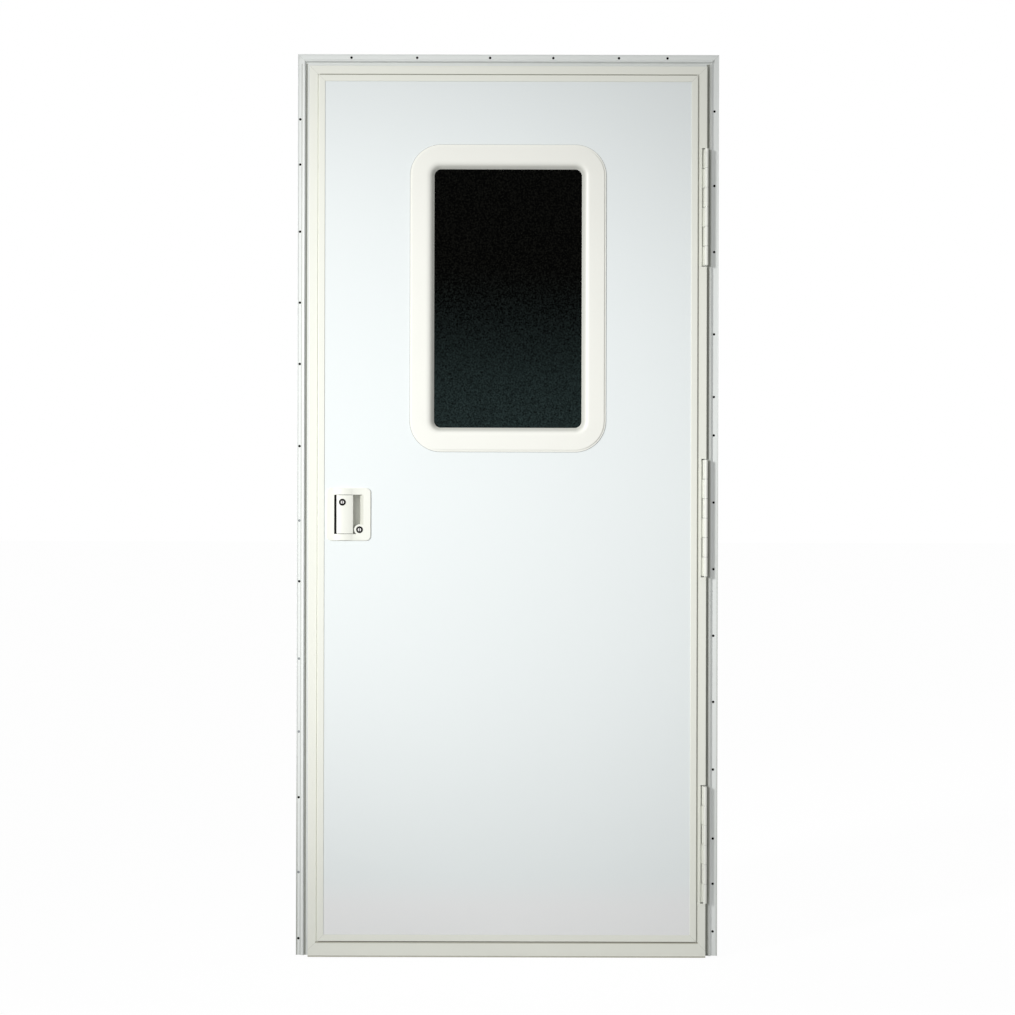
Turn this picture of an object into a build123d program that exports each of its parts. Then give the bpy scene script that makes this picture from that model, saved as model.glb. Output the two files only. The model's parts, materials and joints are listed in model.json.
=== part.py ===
"""Caravan entry door: an aluminium frame, an outward-opening leaf with a window, a flush lock and hinges.

Millimetres. Seen from outside, +X is to the right, +Y goes into the caravan and +Z is up.
y = 0 is the back of the screw flange, which lies on the caravan's wall, and z = 0 is the foot of the jambs.
"""

import os

from build123d import *

os.makedirs("parts", exist_ok=True)

# Frame extrusion, measured inward from the outer edge of the flange and back from the wall plane
FRAME_WIDTH = 866.0
FRAME_HEIGHT = 1852.0
FLANGE_COVER = 26.5
FLANGE_THICK = 2.0
RIM_WIDTH = 1.5
RIM_HEIGHT = 3.0
RIDGE_FOOT = 9.6
RIDGE_CREST = 13.0
RIDGE_CREST_WIDTH = 1.6
RIDGE_WIDTH = 8.0
RIDGE_HEIGHT = 7.0
RIDGE_ROUND = 0.7
WEB_THICK = 2.5
STOP_REACH = 16.0
STOP_THICK = 2.5
SILL_HEIGHT = 29.0
TREAD_GROOVES = 6
TREAD_GROOVE_WIDTH = 2.0
TREAD_GROOVE_DEPTH = 0.6
TREAD_GROOVE_PITCH = 5.0
SCREW_HOLE_RADIUS = 2.6
SCREW_INSET = 6.8

# The two jambs are different extrusions: ridge and screws lie further in on the hinge side
LOCK_SIDE_SCREW_SHIFT = -1.8
HINGE_SIDE_SHIFT = 2.4

# Gaps between the flange screws, counted from both ends of each side
LOCK_SIDE_GAPS_UP = (34, 136, 154, 135, 150, 159, 125)
LOCK_SIDE_GAPS_DOWN = (134, 93, 138, 146, 126, 169)
HINGE_SIDE_GAPS_UP = (50, 98, 93, 142, 139, 136, 137)
HINGE_SIDE_GAPS_DOWN = (116, 153, 136, 169, 129, 79, 138)
HEAD_GAPS_FROM_LEFT = (110, 135, 150)
HEAD_GAPS_FROM_RIGHT = (106, 100, 135)

# Leaf edge extrusion: a front lip, a raised band that holds the skin, and a hollow box behind
EDGE_CLEAR = 6.5
SILL_CLEAR = 5.0
LIP_CLEAR = 5.0
LIP_OVERLAP = 11.0
LIP_THICK = 2.5
LIP_ROUND = 1.2
GROOVE_WIDTH = 2.5
GROOVE_DEPTH = 1.6
BAND_INSET = 19.5
BAND_WIDTH = 13.0
BAND_RISE = 4.0
BAND_THICK = 1.5
BAND_ROUND = 0.9
LEAF_WALL = 2.0
REAR_FLANGE = 20.0
BOTTOM_LIP = 31.0
LIP_DROP = 3.0
BOTTOM_BOX = 12.0

# Leaf sandwich panel
SKIN_THICK = 1.5
CORE_THICK = 35.0
PANEL_CLEAR = 0.3

# Seal between the leaf and the frame's stop
SEAL_ROOM = 7.5
SEAL_WIDTH = 7.0
SEAL_INSET = 1.0
SEAL_CLEAR = 0.8
SEAL_ROUND = 3.0

# Hinges: six knuckles each, leaf and frame in turn
LOWER_HINGE_RISE = 230.0
UPPER_HINGE_DROP = 314.0
MIDDLE_HINGE_SHIFT = 16.0
HINGE_LENGTH = 240.0
KNUCKLES = 6
KNUCKLE_GAP = 0.9
BARREL_RADIUS = 3.6
PIN_RADIUS = 2.0
PIN_FIT = 0.06
HINGE_PLATE_THICK = 2.0
HINGE_PLATE_DEPTH = 28.0
HINGE_AXIS_OUT = 2.5
HINGE_AXIS_PROUD = 10.5
FINGER_SET = 1.0
FINGER_THICK = 1.6
FINGER_CLEAR = 1.0
FINGER_REACH = 1.3
FINGER_HALF_WIDTH = 3.0
NOTCH_CLEAR = 1.5

# Window
WINDOW_DROP = 502.0
RING_BAND = 49.5
RING_PROUD = 5.0
RING_CROWN = 1.0
RING_BEVEL = 9.2
RING_BEVEL_ROUND = 17.0
RING_EDGE_WIDTH = 4.0
RING_EDGE_THICK = 1.8
RING_EDGE_ROUND = 2.5
RING_COVER = 20.0
SIGHT_WIDTH = 303.0
SIGHT_HEIGHT = 531.0
SIGHT_CORNER = 14.0
GLASS_RECESS = 6.0
GLASS_THICK = 4.0
GLASS_SEAT = 8.0
GLASS_CLEAR = 1.0
GASKET_THICK = 2.0
INNER_RING_PROUD = 7.0
INNER_RING_CHAMFER = 4.0
CUTOUT_CLEAR = 0.5

# Lock
LOCK_BACKSET = 71.8
LOCK_HEIGHT = 906.0
PADDLE_WIDTH = 34.9
PADDLE_HEIGHT = 78.8
PADDLE_SLIT = 4.1
PADDLE_GAP = 1.0
PADDLE_THICK = 6.0
PADDLE_ROUND = 1.2
RECESS_WIDTH = 20.6
RECESS_SLOPE_WIDTH = 6.5
RECESS_SLOPE_DEPTH = 9.0
POCKET_DEPTH = 16.0
CASE_SIDE_WALL = 4.7
CASE_END_WALL = 6.8
CASE_DEPTH = 34.0
CASE_CLEAR = 0.4
BEZEL_SIDE_COVER = 11.0
BEZEL_END_COVER = 7.05
BEZEL_CORNER = 10.0
BEZEL_THICK = 3.0
BEZEL_CHAMFER = 1.4
HUMP_RISE = 3.5
PIVOT_INSET = 3.2
PIVOT_BOSS_RADIUS = 3.2
PIVOT_PIN_RADIUS = 1.5
PIVOT_PIN_BITE = 5.0
PIVOT_FIT = 0.05
PLUG_RADIUS = 7.0
PLUG_FIT = 0.06
PLUG_PROUD = 0.5
PLUG_COLLAR = 2.5
PLUG_COLLAR_DEPTH = 5.0
PADDLE_PLUG_LENGTH = 15.0
PADDLE_PLUG_DROP = 14.5
PADDLE_PLUG_INSET = 12.9
DEADBOLT_PLUG_LENGTH = 22.0
DEADBOLT_BOSS_RADIUS = 11.0
DEADBOLT_PLUG_INSET = 7.6
DEADBOLT_DROP = 31.4
KEYWAY_WIDTH = 1.6
KEYWAY_LENGTH = 8.0
KEYWAY_DEPTH = 3.0

# Bolts, strike and inside fittings
LATCH_BOLT_HEIGHT = 16.0
LATCH_BOLT_WIDTH = 12.0
LATCH_BOLT_RISE = 12.0
DEADBOLT_HEIGHT = 22.0
DEADBOLT_WIDTH = 10.0
BOLT_CLEAR = 0.3
STRIKE_THICK = 1.5
STRIKE_WIDTH = 24.0
STRIKE_HEIGHT = 110.0
STRIKE_SLOT_CLEAR = 2.0
INNER_PLATE_WIDTH = 100.0
INNER_PLATE_HEIGHT = 124.0
INNER_PLATE_THICK = 3.0
INNER_PLATE_CORNER = 8.0
LEVER_HUB_RADIUS = 12.0
LEVER_THICK = 8.0
LEVER_LENGTH = 62.0
LEVER_WIDTH = 15.0
TURN_RADIUS = 10.0
TURN_THICK = 4.0
TURN_GRIP_LENGTH = 24.0
TURN_GRIP_WIDTH = 6.0
TURN_GRIP_HEIGHT = 12.0

# Faces that several pieces share
half_width = FRAME_WIDTH / 2
web_inner = half_width - FLANGE_COVER - WEB_THICK
head_inner = FRAME_HEIGHT - FLANGE_COVER - WEB_THICK
stop_inner = web_inner - STOP_REACH
leaf_edge = web_inner - EDGE_CLEAR
leaf_top = head_inner - EDGE_CLEAR
leaf_bottom = SILL_HEIGHT + SILL_CLEAR
lip_edge = leaf_edge + LIP_OVERLAP
lip_top = leaf_top + LIP_OVERLAP
lip_bottom = -LIP_DROP
lip_back = -FLANGE_THICK - LIP_CLEAR
lip_front = lip_back - LIP_THICK
band_front = lip_front - BAND_RISE
skin_front = band_front + BAND_THICK
core_front = skin_front + SKIN_THICK
core_back = core_front + CORE_THICK
inner_face = core_back + SKIN_THICK
leaf_rear = inner_face + LEAF_WALL
stop_front = leaf_rear + SEAL_ROOM
jamb_depth = stop_front + STOP_THICK
panel_edge = lip_edge - BAND_INSET - LEAF_WALL
panel_top = lip_top - BAND_INSET - LEAF_WALL
bottom_band = lip_bottom + BOTTOM_LIP + GROOVE_WIDTH
bottom_mitre = bottom_band + BAND_WIDTH - (BAND_INSET + BAND_WIDTH)
box_top = leaf_bottom + BOTTOM_BOX
rear_flange_edge = leaf_edge - REAR_FLANGE
lock_x = -(leaf_edge - LOCK_BACKSET)
latch_z = LOCK_HEIGHT + LATCH_BOLT_RISE
deadbolt_z = LOCK_HEIGHT - DEADBOLT_DROP
bolt_y = (lip_back + leaf_rear) / 2


def bar(x0, x1, y0, y1, mode=Mode.ADD):
    """A rectangle between two opposite corners, for the sketch that is open."""
    with Locations(((x0 + x1) / 2, (y0 + y1) / 2)):
        Rectangle(x1 - x0, y1 - y0, mode=mode)


def block(x0, x1, y0, y1, z0, z1, mode=Mode.ADD):
    """A box between two opposite corners, for the part that is open."""
    with Locations(((x0 + x1) / 2, (y0 + y1) / 2, (z0 + z1) / 2)):
        Box(x1 - x0, y1 - y0, z1 - z0, mode=mode)


def front_plane(y, x=0.0, z=0.0):
    """A plane facing out of the caravan, whose own x and y are the object's X and Z."""
    return Plane(origin=(x, y, z), x_dir=(1, 0, 0), z_dir=(0, -1, 0))


def running_totals(gaps):
    return [sum(gaps[: i + 1]) for i in range(len(gaps))]


def save(builder, name):
    builder.part.label = name
    export_step(builder.part, f"parts/{name}.step")


# Planes on which a section's x runs inward from an outer edge and its y runs into the caravan
def left_side(edge, bottom):
    return Plane(origin=(-edge, 0, bottom), x_dir=(1, 0, 0), z_dir=(0, 0, 1))


def right_side(edge, top):
    return Plane(origin=(edge, 0, top), x_dir=(-1, 0, 0), z_dir=(0, 0, -1))


def top_side(edge, top):
    return Plane(origin=(-edge, 0, top), x_dir=(0, 0, -1), z_dir=(1, 0, 0))


def bottom_side(edge, bottom):
    return Plane(origin=(edge, 0, bottom), x_dir=(0, 0, 1), z_dir=(-1, 0, 0))


def mitre(side, edge, height, rising):
    """The 45 degree plane through a corner; its normal points to the cross rail's side."""
    return Plane(origin=(side * edge, 0, height), z_dir=(-side, 0, rising))


# Frame
def frame_section(shift):
    """Section of a frame member, with its ridge moved in by the shift."""
    foot, crest = RIDGE_FOOT + shift, RIDGE_CREST + shift
    with BuildSketch() as section:
        bar(0, FLANGE_COVER + WEB_THICK, -FLANGE_THICK, 0)
        bar(0, RIM_WIDTH, -RIM_HEIGHT, 0)
        with BuildLine():
            Polyline(
                (foot, 0),
                (foot, -FLANGE_THICK),
                (crest, -RIDGE_HEIGHT),
                (crest + RIDGE_CREST_WIDTH, -RIDGE_HEIGHT),
                (foot + RIDGE_WIDTH, -FLANGE_THICK),
                (foot + RIDGE_WIDTH, 0),
                close=True,
            )
        make_face()
        bar(FLANGE_COVER, FLANGE_COVER + WEB_THICK, -FLANGE_THICK, jamb_depth)
        bar(FLANGE_COVER, FLANGE_COVER + WEB_THICK + STOP_REACH, jamb_depth - STOP_THICK, jamb_depth)
        fillet(section.vertices().group_by(Axis.Y)[0], RIDGE_ROUND)
    return section.sketch


head_section = frame_section(0)
hinge_side_section = frame_section(HINGE_SIDE_SHIFT)

BOLTS = {
    "latch_bolt": (latch_z, LATCH_BOLT_WIDTH, LATCH_BOLT_HEIGHT),
    "deadbolt": (deadbolt_z, DEADBOLT_WIDTH, DEADBOLT_HEIGHT),
}


def cut_bolt_slots(x0, x1, clear):
    """Slots for both bolts through everything between x0 and x1."""
    for height, width, tall in BOLTS.values():
        block(
            x0,
            x1,
            bolt_y - width / 2 - clear,
            bolt_y + width / 2 + clear,
            height - tall / 2 - clear,
            height + tall / 2 + clear,
            Mode.SUBTRACT,
        )


def from_both_ends(near, far, length):
    """Places along a length, from gaps counted from its start and gaps counted back from its end."""
    return running_totals(near) + [length - place for place in running_totals(far)]


for name, side, section, screw_shift, gaps_up, gaps_down in (
    ("jamb_lock_side", -1, head_section, LOCK_SIDE_SCREW_SHIFT, LOCK_SIDE_GAPS_UP, LOCK_SIDE_GAPS_DOWN),
    ("jamb_hinge_side", 1, hinge_side_section, HINGE_SIDE_SHIFT, HINGE_SIDE_GAPS_UP, HINGE_SIDE_GAPS_DOWN),
):
    plane = left_side(half_width, 0) if side < 0 else right_side(half_width, FRAME_HEIGHT)
    with BuildPart() as jamb:
        with BuildSketch(plane):
            add(section)
        extrude(amount=FRAME_HEIGHT)
        split(bisect_by=mitre(side, half_width, FRAME_HEIGHT, 1), keep=Keep.BOTTOM)
        stop_edges = sorted((side * web_inner, side * (stop_inner - 1)))
        block(*stop_edges, stop_front, jamb_depth, 0, SILL_HEIGHT + STOP_REACH, Mode.SUBTRACT)
        screw_x = side * (half_width - SCREW_INSET - screw_shift)
        heights = from_both_ends(gaps_up, gaps_down, FRAME_HEIGHT)
        with Locations(*[Plane(origin=(screw_x, 0, z), z_dir=(0, 1, 0)) for z in heights]):
            Hole(SCREW_HOLE_RADIUS)
        if side < 0:
            cut_bolt_slots(-web_inner - WEB_THICK, -web_inner, STRIKE_SLOT_CLEAR)
    save(jamb, name)

with BuildPart() as head:
    with BuildSketch(top_side(half_width, FRAME_HEIGHT)):
        add(head_section)
    extrude(amount=FRAME_WIDTH)
    for side in (-1, 1):
        split(bisect_by=mitre(side, half_width, FRAME_HEIGHT, 1), keep=Keep.TOP)
    screw_z = FRAME_HEIGHT - SCREW_INSET
    places = from_both_ends(HEAD_GAPS_FROM_LEFT, HEAD_GAPS_FROM_RIGHT, FRAME_WIDTH)
    with Locations(*[Plane(origin=(x - half_width, 0, screw_z), z_dir=(0, 1, 0)) for x in places]):
        Hole(SCREW_HOLE_RADIUS)
save(head, "jamb_head")

with BuildPart() as sill:
    with BuildSketch(bottom_side(web_inner, 0)):
        bar(0, SILL_HEIGHT, -FLANGE_THICK, 0)
        bar(SILL_HEIGHT - WEB_THICK, SILL_HEIGHT, -FLANGE_THICK, jamb_depth)
        bar(SILL_HEIGHT - WEB_THICK, SILL_HEIGHT + STOP_REACH, stop_front, jamb_depth)
        with Locations((SILL_HEIGHT, stop_front / 2)):
            with GridLocations(0, TREAD_GROOVE_PITCH, 1, TREAD_GROOVES):
                Rectangle(2 * TREAD_GROOVE_DEPTH, TREAD_GROOVE_WIDTH, mode=Mode.SUBTRACT)
    extrude(amount=2 * web_inner)
save(sill, "sill_threshold")

# The seal runs round on the face of the stop
seal_inner = stop_inner + SEAL_INSET
seal_top = head_inner - STOP_REACH + SEAL_INSET
seal_bottom = SILL_HEIGHT + STOP_REACH - SEAL_INSET
seal_middle = (seal_top + seal_bottom) / 2
with BuildPart() as seal:
    with BuildSketch(front_plane(stop_front, z=seal_middle)):
        Rectangle(2 * (seal_inner + SEAL_WIDTH), seal_top - seal_bottom + 2 * SEAL_WIDTH)
        Rectangle(2 * seal_inner, seal_top - seal_bottom, mode=Mode.SUBTRACT)
    extrude(amount=SEAL_ROOM - SEAL_CLEAR)
    fillet(seal.faces().sort_by(Axis.Y)[0].edges(), SEAL_ROUND)
save(seal, "frame_seal")

with BuildPart() as strike:
    block(
        -web_inner,
        -web_inner + STRIKE_THICK,
        bolt_y - STRIKE_WIDTH / 2,
        bolt_y + STRIKE_WIDTH / 2,
        LOCK_HEIGHT - STRIKE_HEIGHT / 2,
        LOCK_HEIGHT + STRIKE_HEIGHT / 2,
    )
    cut_bolt_slots(-web_inner, -web_inner + STRIKE_THICK, STRIKE_SLOT_CLEAR)
save(strike, "strike_plate")

# Leaf edge extrusions
upper_hinge = FRAME_HEIGHT - UPPER_HINGE_DROP
middle_hinge = (LOWER_HINGE_RISE + upper_hinge) / 2 + MIDDLE_HINGE_SHIFT
hinge_heights = {"lower": LOWER_HINGE_RISE, "middle": middle_hinge, "upper": upper_hinge}
box_start = LIP_OVERLAP
with BuildSketch() as leaf_front:
    bar(0, BAND_INSET + LEAF_WALL, lip_front, lip_back)
    bar(BAND_INSET, BAND_INSET + LEAF_WALL, band_front, lip_back)
    bar(BAND_INSET, BAND_INSET + BAND_WIDTH, band_front, skin_front)
    bar(BAND_INSET - GROOVE_WIDTH, BAND_INSET, lip_front, lip_front + GROOVE_DEPTH, Mode.SUBTRACT)
    fillet(leaf_front.vertices().group_by(Axis.X)[0].sort_by(Axis.Y)[0], LIP_ROUND)
    fillet(leaf_front.vertices().group_by(Axis.Y)[0], BAND_ROUND)

with BuildSketch() as leaf_box:
    bar(box_start, BAND_INSET + LEAF_WALL, lip_front + GROOVE_DEPTH, lip_back)
    bar(box_start, box_start + LEAF_WALL, lip_back, leaf_rear)
    bar(BAND_INSET, BAND_INSET + LEAF_WALL, lip_back, leaf_rear)
    bar(box_start, box_start + REAR_FLANGE, inner_face, leaf_rear)

for name, side in (("leaf_lock_stile", -1), ("leaf_hinge_stile", 1)):
    with BuildPart() as stile:
        front = left_side(lip_edge, lip_bottom) if side < 0 else right_side(lip_edge, lip_top)
        with BuildSketch(front):
            add(leaf_front.sketch)
        extrude(amount=lip_top - lip_bottom)
        split(bisect_by=mitre(side, lip_edge, bottom_mitre, -1), keep=Keep.BOTTOM)
        back = left_side(lip_edge, leaf_bottom) if side < 0 else right_side(lip_edge, lip_top)
        with BuildSketch(back):
            add(leaf_box.sketch)
        extrude(amount=lip_top - leaf_bottom)
        split(bisect_by=mitre(side, lip_edge, lip_top, 1), keep=Keep.BOTTOM)
        if side < 0:
            cut_bolt_slots(-lip_edge, -panel_edge, BOLT_CLEAR)
        else:
            for height in hinge_heights.values():
                reach = HINGE_LENGTH / 2 + NOTCH_CLEAR
                block(
                    leaf_edge, lip_edge, lip_front, lip_back, height - reach, height + reach, Mode.SUBTRACT
                )
    save(stile, name)

with BuildPart() as top_rail:
    for section in (leaf_front, leaf_box):
        with BuildSketch(top_side(lip_edge, lip_top)):
            add(section.sketch)
        extrude(amount=2 * lip_edge)
    for side in (-1, 1):
        split(bisect_by=mitre(side, lip_edge, lip_top, 1), keep=Keep.TOP)
save(top_rail, "leaf_top_rail")

# The bottom rail's lip is deeper and hangs in front of the sill; its box stands between the stiles
with BuildPart() as bottom_rail:
    with BuildSketch(bottom_side(lip_edge, 0)) as lip_sketch:
        bar(lip_bottom, bottom_band + LEAF_WALL, lip_front, lip_back)
        bar(bottom_band, bottom_band + LEAF_WALL, band_front, lip_back)
        bar(bottom_band, bottom_band + BAND_WIDTH, band_front, skin_front)
        bar(bottom_band - GROOVE_WIDTH, bottom_band, lip_front, lip_front + GROOVE_DEPTH, Mode.SUBTRACT)
    extrude(amount=2 * lip_edge)
    for side in (-1, 1):
        split(bisect_by=mitre(side, lip_edge, bottom_mitre, -1), keep=Keep.TOP)
    with BuildSketch(bottom_side(panel_edge, 0)):
        bar(bottom_band, box_top, lip_front + GROOVE_DEPTH, lip_back)
        bar(leaf_bottom, leaf_bottom + LEAF_WALL, lip_back, inner_face)
        bar(box_top - LEAF_WALL, box_top, lip_back, inner_face)
    extrude(amount=2 * panel_edge)
    block(
        -rear_flange_edge,
        rear_flange_edge,
        inner_face,
        leaf_rear,
        leaf_bottom,
        leaf_bottom + REAR_FLANGE,
    )
save(bottom_rail, "leaf_bottom_rail")

# Sandwich panel, with the cut-outs for the window and the lock
window_z = FRAME_HEIGHT - WINDOW_DROP
ring_width = SIGHT_WIDTH + 2 * RING_BAND
ring_height = SIGHT_HEIGHT + 2 * RING_BAND
cutout_width = ring_width - 2 * RING_COVER
cutout_height = ring_height - 2 * RING_COVER
cutout_corner = SIGHT_CORNER + RING_BAND - RING_COVER
pocket_width = PADDLE_SLIT + PADDLE_WIDTH + RECESS_WIDTH
pocket_height = PADDLE_HEIGHT + 2 * PADDLE_GAP
case_width = pocket_width + 2 * CASE_SIDE_WALL
case_height = pocket_height + 2 * CASE_END_WALL
case_left = lock_x - case_width / 2


def panel(y0, y1, bottom):
    """One layer of the leaf, from y0 back to y1 and up from the given height."""
    width = 2 * (panel_edge - PANEL_CLEAR)
    tall = panel_top - PANEL_CLEAR - bottom
    with BuildPart() as layer:
        with BuildSketch(front_plane(y1)):
            with Locations((0, bottom + tall / 2)):
                Rectangle(width, tall)
            with Locations((0, window_z)):
                RectangleRounded(cutout_width, cutout_height, cutout_corner, mode=Mode.SUBTRACT)
            with Locations((lock_x, LOCK_HEIGHT)):
                Rectangle(case_width + 2 * CASE_CLEAR, case_height + 2 * CASE_CLEAR, mode=Mode.SUBTRACT)
        extrude(amount=y1 - y0)
        cut_bolt_slots(-panel_edge, case_left, BOLT_CLEAR)
    return layer


save(panel(skin_front, core_front, bottom_band + LEAF_WALL + PANEL_CLEAR), "outer_skin")
save(panel(core_front, core_back, box_top + PANEL_CLEAR), "foam_core")
save(panel(core_back, inner_face, box_top + PANEL_CLEAR), "inner_skin")

# Window
ring_face = skin_front - RING_PROUD
glass_front = skin_front + GLASS_RECESS
glass_back = glass_front + GLASS_THICK
clamp_face = glass_back + GASKET_THICK
neck = RING_BAND - RING_COVER - CUTOUT_CLEAR
glass_seat = GLASS_SEAT + GLASS_CLEAR
ring_edge = RING_BAND - RING_EDGE_WIDTH
edge_face = skin_front - RING_EDGE_THICK
seat_back = glass_back - GLASS_CLEAR
glass_width = SIGHT_WIDTH + 2 * GLASS_SEAT
glass_height = SIGHT_HEIGHT + 2 * GLASS_SEAT
glass_corner = SIGHT_CORNER + GLASS_SEAT

# Both rings are one section carried round the edge of the sight opening, from the middle of its right side
sight_x = SIGHT_WIDTH / 2
sight_z = SIGHT_HEIGHT / 2
section_plane = Plane(origin=(sight_x, 0, window_z), x_dir=(1, 0, 0), z_dir=(0, 0, 1))
with BuildLine(front_plane(0, z=window_z)) as sight_edge:
    for half in (1, -1):
        FilletPolyline(
            (half * sight_x, 0),
            (half * sight_x, half * sight_z),
            (-half * sight_x, half * sight_z),
            (-half * sight_x, 0),
            radius=SIGHT_CORNER,
        )

with BuildPart() as outer_ring:
    with BuildSketch(section_plane) as ring_section:
        with BuildLine():
            Polyline(
                (0, glass_front),
                (RING_BEVEL, ring_face),
                (ring_edge, ring_face + RING_CROWN),
                (ring_edge, edge_face),
                (RING_BAND, edge_face),
                (RING_BAND, skin_front),
                (neck, skin_front),
                (neck, seat_back),
                (glass_seat, seat_back),
                (glass_seat, glass_front),
                close=True,
            )
        make_face()
        crest, shoulder = [corners[0] for corners in ring_section.vertices().group_by(Axis.Y)[:2]]
        fillet(crest, RING_BEVEL_ROUND)
        fillet(shoulder, RING_EDGE_ROUND)
    sweep(path=sight_edge.wires()[0])
save(outer_ring, "window_outer_ring")

with BuildPart() as glass:
    with BuildSketch(front_plane(glass_back, z=window_z)):
        RectangleRounded(glass_width, glass_height, glass_corner)
    extrude(amount=GLASS_THICK)
save(glass, "window_glass")

with BuildPart() as gasket:
    with BuildSketch(front_plane(clamp_face, z=window_z)):
        RectangleRounded(glass_width, glass_height, glass_corner)
        RectangleRounded(SIGHT_WIDTH, SIGHT_HEIGHT, SIGHT_CORNER, mode=Mode.SUBTRACT)
    extrude(amount=GASKET_THICK)
save(gasket, "window_gasket")

with BuildPart() as inner_ring:
    with BuildSketch(section_plane) as clamp_section:
        bar(0, neck, clamp_face, inner_face)
        bar(0, RING_BAND, inner_face, inner_face + INNER_RING_PROUD)
        chamfer(clamp_section.vertices().group_by(Axis.Y)[-1], INNER_RING_CHAMFER)
    sweep(path=sight_edge.wires()[0])
save(inner_ring, "window_inner_ring")

# Lock: a moulded bezel with a case behind it, a sprung paddle in its pocket and two key plugs
bezel_front = skin_front - BEZEL_THICK
hump_front = bezel_front - HUMP_RISE
case_back = skin_front + CASE_DEPTH
pocket_floor = skin_front + POCKET_DEPTH
pocket_left = lock_x - pocket_width / 2
pocket_right = lock_x + pocket_width / 2
pocket_bottom = LOCK_HEIGHT - pocket_height / 2
pocket_top = LOCK_HEIGHT + pocket_height / 2
bezel_width = case_width + 2 * BEZEL_SIDE_COVER
bezel_height = case_height + 2 * BEZEL_END_COVER
paddle_left = pocket_left + PADDLE_SLIT
paddle_right = paddle_left + PADDLE_WIDTH
paddle_bottom = pocket_bottom + PADDLE_GAP
paddle_back = hump_front + PADDLE_THICK
pivot_x = paddle_left + PIVOT_INSET
pivot_y = paddle_back + PIVOT_PIN_RADIUS
deadbolt_x = pocket_right - DEADBOLT_PLUG_INSET
paddle_plug_x = paddle_left + PADDLE_PLUG_INSET
paddle_plug_z = paddle_bottom + PADDLE_HEIGHT - PADDLE_PLUG_DROP

# The hump over the paddle's width is part of a cylinder, which the paddle's own face carries on
hump_half = (paddle_right - pocket_left) / 2
hump_radius = (hump_half**2 + HUMP_RISE**2) / (2 * HUMP_RISE)
hump_centre = (pocket_left + hump_half, hump_front + hump_radius)


def crowned(x0, x1, back, bottom, tall):
    """An upright bar whose front is on the hump's cylinder, for the part that is open."""
    with BuildSketch(Plane.XY.offset(bottom)) as profile:
        bar(x0, x1, hump_front, back)
        with Locations(hump_centre):
            Circle(hump_radius, mode=Mode.INTERSECT)
    extrude(profile.sketch, amount=tall)


def upright_rod(radius, bottom, tall, mode=Mode.ADD):
    """A rod on the paddle's pivot line, for the part that is open."""
    with BuildSketch(Plane.XY.offset(bottom)) as profile:
        with Locations((pivot_x, pivot_y)):
            Circle(radius)
    extrude(profile.sketch, amount=tall, mode=mode)


def facing_rod(radius, back, front, x, z, mode=Mode.ADD):
    """A round bar that faces out of the caravan, for the part that is open."""
    with BuildSketch(front_plane(back, x, z)) as profile:
        Circle(radius)
    extrude(profile.sketch, amount=back - front, mode=mode)


with BuildPart() as bezel:
    with BuildSketch(front_plane(skin_front, lock_x, LOCK_HEIGHT)):
        RectangleRounded(bezel_width, bezel_height, BEZEL_CORNER)
    extrude(amount=BEZEL_THICK)
    chamfer(bezel.faces().sort_by(Axis.Y)[0].edges(), BEZEL_CHAMFER)
    hump_height = bezel_height - 2 * BEZEL_CHAMFER
    crowned(pocket_left, paddle_right, skin_front, LOCK_HEIGHT - hump_height / 2, hump_height)
    block(
        case_left,
        case_left + case_width,
        skin_front,
        case_back,
        LOCK_HEIGHT - case_height / 2,
        LOCK_HEIGHT + case_height / 2,
    )
    block(pocket_left, paddle_right, hump_front, pocket_floor, pocket_bottom, pocket_top, Mode.SUBTRACT)
    with BuildSketch(Plane.XY.offset(pocket_bottom)):
        with BuildLine():
            Polyline(
                (paddle_right, bezel_front),
                (pocket_right, bezel_front),
                (pocket_right - RECESS_SLOPE_WIDTH, bezel_front + RECESS_SLOPE_DEPTH),
                (pocket_right - RECESS_SLOPE_WIDTH, pocket_floor),
                (paddle_right, pocket_floor),
                close=True,
            )
        make_face()
    extrude(amount=pocket_height, mode=Mode.SUBTRACT)
    facing_rod(DEADBOLT_BOSS_RADIUS, pocket_floor, bezel_front, deadbolt_x, deadbolt_z)
    block(
        deadbolt_x, pocket_right, bezel_front, pocket_floor, pocket_bottom, deadbolt_z + DEADBOLT_BOSS_RADIUS
    )
    plug_back = bezel_front + DEADBOLT_PLUG_LENGTH
    facing_rod(PLUG_RADIUS + PLUG_FIT, plug_back, bezel_front, deadbolt_x, deadbolt_z, Mode.SUBTRACT)
    upright_rod(
        PIVOT_PIN_RADIUS + PIVOT_FIT,
        pocket_bottom - PIVOT_PIN_BITE,
        pocket_height + 2 * PIVOT_PIN_BITE,
        Mode.SUBTRACT,
    )
save(bezel, "lock_bezel")

with BuildPart() as paddle:
    crowned(paddle_left, paddle_right, paddle_back, paddle_bottom, PADDLE_HEIGHT)
    fillet(paddle.edges().filter_by(Axis.Z).group_by(Axis.X)[-1], PADDLE_ROUND)
    upright_rod(PIVOT_BOSS_RADIUS, paddle_bottom, PADDLE_HEIGHT)
    facing_rod(
        PLUG_RADIUS + PLUG_COLLAR, paddle_back + PLUG_COLLAR_DEPTH, paddle_back, paddle_plug_x, paddle_plug_z
    )
    upright_rod(PIVOT_PIN_RADIUS + PIVOT_FIT, paddle_bottom, PADDLE_HEIGHT, Mode.SUBTRACT)
    plug_back = hump_front + PADDLE_PLUG_LENGTH
    facing_rod(PLUG_RADIUS + PLUG_FIT, plug_back, hump_front, paddle_plug_x, paddle_plug_z, Mode.SUBTRACT)
save(paddle, "lock_paddle")

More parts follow.
